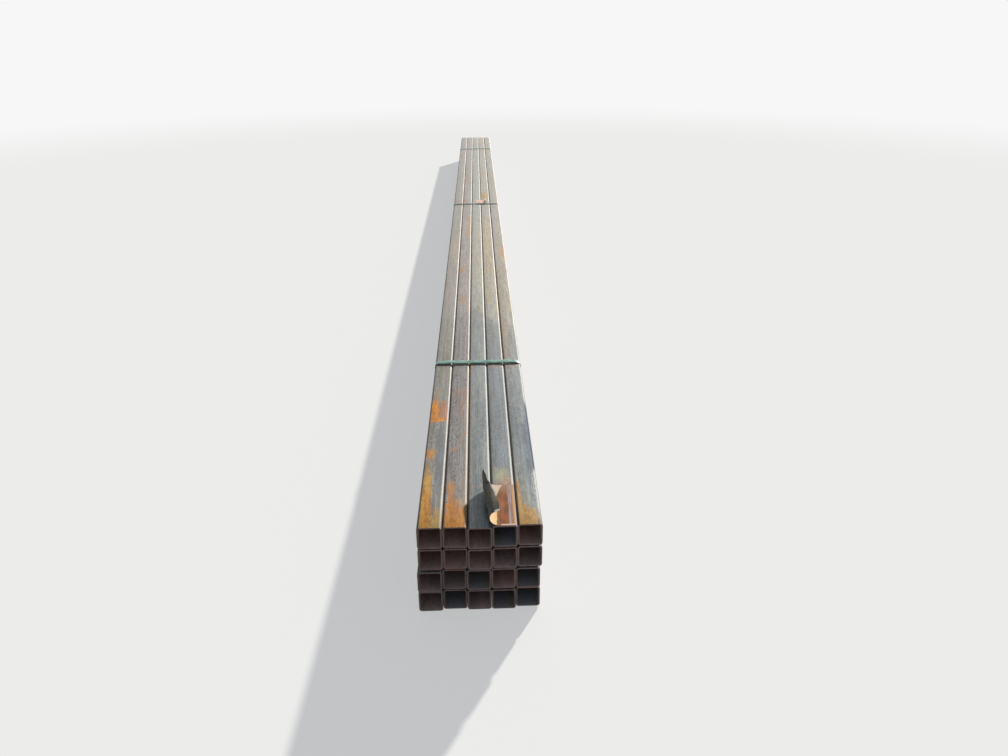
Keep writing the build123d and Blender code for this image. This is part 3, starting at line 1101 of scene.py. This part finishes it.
def makeLabel():
    low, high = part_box("paper_label")
    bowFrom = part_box("tube_top_4")[0].y + tube["bowStart"]
    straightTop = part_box("tube_top_3")[0].z + tube["side"]      # of the tubes, behind their bowed ends
    rows = []
    for r in range(label["rows"] + 1):
        s = r / label["rows"]
        y = low.y + (high.y - low.y) * s
        bend, turn, lip, tall = (sum(term * s ** power for power, term in enumerate(label[key]))
                                 for key in ("bend", "turn", "lip", "tall"))
        turn = radians(turn)
        lip = max(0.0, lip) * mm
        width = label["width"] * (1 + label["slack"] * sin(pi * s))
        flat = high.x - bend * mm
        radius = (width - flat - lip) / turn
        share = (bowFrom - y) / tube["bowStart"]
        base = straightTop + label["bow"] * share ** 2 + label["lie"]
        row = []
        for run, x, rise in curledRow(high.x, flat, radius, turn, lip, label["steps"], -1):
            rise *= tall
            lean = label["frontLean"] * (1 - s) ** 3 * min(1.0, rise / (2 * radius))
            wave = rippled(label, run, s, rise)
            row.append(((x + wave, y + lean, base + rise), (run, s, width - run)))
        rows.append(row)
    piece = sheetPiece("paperLabel", rows, label["sheet"], [labelFace(), labelBack(), paperEdge()])
    handOver(piece, "paper_label")


def makeTag():
    low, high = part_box("paper_tag")
    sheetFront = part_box("strap_middle")[1].y + tag["behindStrap"]
    tongueRows = tag["tongueRows"]
    rows = []
    for r in range(tongueRows + tag["rows"] + 1):
        s = max(0.0, (r - tongueRows) / tag["rows"])
        y = sheetFront + (high.y - sheetFront) * s
        if r < tongueRows:
            y = low.y + (sheetFront - low.y) * r / tongueRows
        turn = radians(tag["turnFront"] + (tag["turnRear"] - tag["turnFront"]) * s ** tag["turnPower"])
        radius = (tag["width"] - tag["flat"] - tag["lip"]) / turn
        base = low.z + tag["sheet"] / 2
        row = []
        for run, x, rise in curledRow(low.x, tag["flat"], radius, turn, tag["lip"], tag["steps"], 1):
            point = (x, y + tag["lean"] * rise * (1 - s), base + rise + rippled(tag, run, s, rise))
            row.append((point, (run, s, tag["width"] - run)))
        rows.append(row)
    lastFlat = int(tag["steps"] * tag["flat"] / tag["width"])
    piece = sheetPiece("paperTag", rows, tag["sheet"], [tagBack(), tagFace(), paperEdge()],
                       lambda r, c: r >= tongueRows or c < lastFlat)
    handOver(piece, "paper_tag")


def paperEdge():
    material, tree = newMaterial("paperEdge")
    worn = ramp(grain(objectPlace(tree), 200, 200), 0.4, 0.7)
    return finished(material, mixed(worn, "paperRim", "wornRim"), 0.9)


def labelFace():      # cream paper, soaked with rust where it still lies on the tube
    material, tree = newMaterial("labelFace")
    parts = split(stored(tree, "paper"))
    run = times(parts["X"], 1 / mm)
    place = objectPlace(tree)
    fibre = grain(place, 350, 350, 5.0, 0.7)
    cloud = grain(place, 55, 26, 5.0, 0.6)
    streak = noise(stretch(place, 260, 14, 60), 4.0, 0.6)
    cream = layered(mixed(ramp(parts["Y"], 0.2, 0.7), "frontCream", "rearCream"),
                    (ramp(fibre, 0.35, 0.7, 0.0, 0.3), "creamFibre"))
    brown = layered(mixed(ramp(cloud, 0.38, 0.62), "soaked", "soakedDark"),
                    (ramp(streak, 0.52, 0.7, 0.0, 0.45), "soakedStreak"))
    edgeOfRust = plus(ramp(parts["Y"], 0.0, 0.2, 40.5, 38.5), ramp(parts["Y"], 0.66, 1.1, 0.0, -15.0))
    soaked = minus(plus(edgeOfRust, times(offCentre(cloud), 4.0)), run)
    rusty = ramp(soaked, -0.8, 1.2)
    paleStrip = times(ramp(run, 5.0, 8.0), fall(run, 12.0, 16.0), ramp(streak, 0.36, 0.56, 0.25, 0.85))
    # painted highlight along the front edge and the right edge, partly paler paper
    front = times(fall(parts["Y"], 0.028, 0.04, 0.85), fall(run, 29.0, 33.0))
    side = times(fall(run, 0.8, 2.2, 0.85), fall(parts["Y"], 0.3, 0.5))
    surface = layered(
        mixed(rusty, cream, brown),
        (paleStrip, "mauveStrip"),
        (fall(run, 3.0, 7.0, 0.85), "orangeEdge"),
        (calc("MAXIMUM", front, side), "labelRim"),
        (times(ramp(parts["Y"], 0.7, 1.0, 0.0, 0.55), rusty), "rearStain"))
    return finished(material, surface, 0.85, (fibre, 0.12 * mm, 0.5), specular=0.25)


def labelBack():      # underside: dark with scale and old glue; pale along part of the free edge and at its front corner, clean paper with painted highlight
    material, tree = newMaterial("labelBack")
    parts = split(stored(tree, "paper"))
    inFrom = times(parts["Z"], 1 / mm)
    place = objectPlace(tree)
    blotch = grain(place, 120, 60, 5.0, 0.65)
    fine = grain(place, 500, 300, 3.0, 0.6)
    worn = times(fall(inFrom, 4.0, 20.0, 0.85), ramp(parts["Y"], 0.1, 0.25), fall(parts["Y"], 0.4, 0.65),
                 ramp(fine, 0.36, 0.55))
    margin = times(fall(inFrom, 2.0, label["margin"] / mm), ramp(parts["Y"], 0.27, 0.32),
                   fall(parts["Y"], 0.56, 0.62))
    # painted highlight: a glint at the free edge's front corner
    corner = times(fall(parts["Y"], 0.02, 0.04), fall(inFrom, 9.0, 14.0))
    surface = layered(
        mixed(ramp(blotch, 0.42, 0.66), "oldGlue", "brownGlue"),
        (ramp(fine, 0.5, 0.7, 0.0, 0.4), "glueSpeck"),
        (worn, "wornBack"),
        (calc("MAXIMUM", margin, corner), "cleanPaper"))
    return finished(material, surface, 0.8, (fine, 0.1 * mm, 0.5))


def tagFace():      # faded pink-orange paper, paler towards its free edge: bleached, with a painted highlight
    material, tree = newMaterial("tagFace")
    inFrom = times(split(stored(tree, "paper"))["Z"], 1 / mm)
    place = objectPlace(tree)
    fibre = grain(place, 350, 350, 5.0, 0.7)
    cloud = grain(place, 60, 30, 4.0, 0.6)
    surface = layered(
        mixed(ramp(cloud, 0.38, 0.64), "tagPink", "tagFaded"),
        (ramp(fibre, 0.45, 0.75, 0.0, 0.35), "tagFibre"),
        (fall(inFrom, 0.0, 16.0, 0.9), "tagBleached"))
    return finished(material, surface, 0.85, (fibre, 0.1 * mm, 0.5))


def tagBack():
    material, tree = newMaterial("tagBack")
    blotch = grain(objectPlace(tree), 120, 60, 5.0, 0.65)
    surface = mixed(ramp(blotch, 0.4, 0.66), "tagDirt", "tagBack")
    return finished(material, surface, 0.85, (blotch, 0.1 * mm, 0.5))


makeLabel()
makeTag()
print("papers made")
